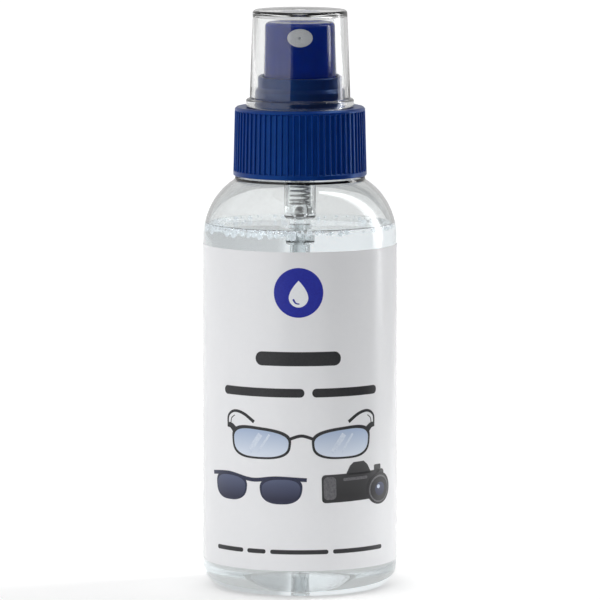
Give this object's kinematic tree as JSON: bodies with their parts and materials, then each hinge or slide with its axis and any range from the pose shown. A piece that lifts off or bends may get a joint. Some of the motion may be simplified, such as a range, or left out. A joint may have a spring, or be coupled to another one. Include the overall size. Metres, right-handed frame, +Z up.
{
  "type": "lens cleaning spray",
  "caption": "Round clear spray bottle with a wrap label, a ribbed screw closure, a fine mist pump and a clear overcap, filled with lens cleaning fluid.",
  "frame": {"origin": "centre of the base, on the surface that the bottle stands on", "axes": "+Z up along the bottle's axis, -Y the way the nozzle sprays and the label's front faces"},
  "size_m": [0.0402, 0.0402, 0.1195],
  "materials": {
    "clear_bottle": "clear, glossy blown PET",
    "label_film": "printed film, satin",
    "fluid": "clear liquid",
    "clear_overcap": "clear, glossy",
    "blue_actuator": "glossy moulded polypropylene",
    "white_insert": "smooth moulded acetal",
    "blue_closure": "semi-gloss moulded polypropylene",
    "white_polypropylene": "moulded, natural",
    "seal_rubber": "soft, matte",
    "white_acetal": "smooth moulded acetal",
    "white_polyethylene": "soft, satin",
    "spring_steel": "drawn stainless wire",
    "ball_steel": "polished stainless ball",
    "natural_polypropylene": "translucent moulded polypropylene",
    "gasket_foam": "closed-cell foam, matte",
    "natural_tube": "translucent extruded polyethylene"
  },
  "bodies": {
    "bottle": {"bottle": "clear_bottle", "label": "label_film", "cleaning_fluid": "fluid"},
    "pump": {"pump_housing": "natural_polypropylene", "chaplet": "white_polypropylene", "chaplet_seal": "seal_rubber", "neck_gasket": "gasket_foam", "dip_tube": "natural_tube", "return_spring": "spring_steel"},
    "closure": {"closure": "blue_closure"},
    "overcap": {"overcap": "clear_overcap"},
    "plunger": {"stem": "white_acetal", "valve_rod": "white_acetal", "pressure_spring": "spring_steel"},
    "piston": {"piston": "white_polyethylene"},
    "actuator": {"actuator": "blue_actuator", "nozzle_insert": "white_insert"},
    "inlet_ball": {"inlet_ball": "ball_steel"}
  },
  "joints": [
    {"name": "pump_unscrew", "type": "slide", "parent": "bottle", "child": "pump", "axis": [0, 0, 1], "range_m": [0, 0.00397]},
    {"name": "closure_turn", "type": "hinge", "parent": "pump", "child": "closure", "pos_m": [0, 0, 0.0924], "axis": [0, 0, 1], "range_deg": [0, 450]},
    {"name": "overcap_lift", "type": "slide", "parent": "closure", "child": "overcap", "axis": [0, 0, 1], "range_m": [0, 0.03]},
    {"name": "actuator_press", "type": "slide", "parent": "pump", "child": "plunger", "axis": [0, 0, -1], "range_m": [0, 0.004], "stiffness_N_per_m": 1500, "springref_m": -0.005, "deforming": ["return_spring"]},
    {"name": "actuator_turn", "type": "hinge", "parent": "plunger", "child": "actuator", "pos_m": [0, 0, 0.1056], "axis": [0, 0, 1], "continuous": true},
    {"name": "piston_lift", "type": "slide", "parent": "plunger", "child": "piston", "axis": [0, 0, 1], "range_m": [0, 0.0006], "stiffness_N_per_m": 1500, "springref_m": -0.002, "deforming": ["pressure_spring"]},
    {"name": "inlet_ball_lift", "type": "slide", "parent": "pump", "child": "inlet_ball", "axis": [0, 0, 1], "range_m": [0, 0.001]}
  ],
  "couplings": [
    {"joint": "closure_turn", "follows": "pump_unscrew", "rad_per_m": 1979}
  ]
}
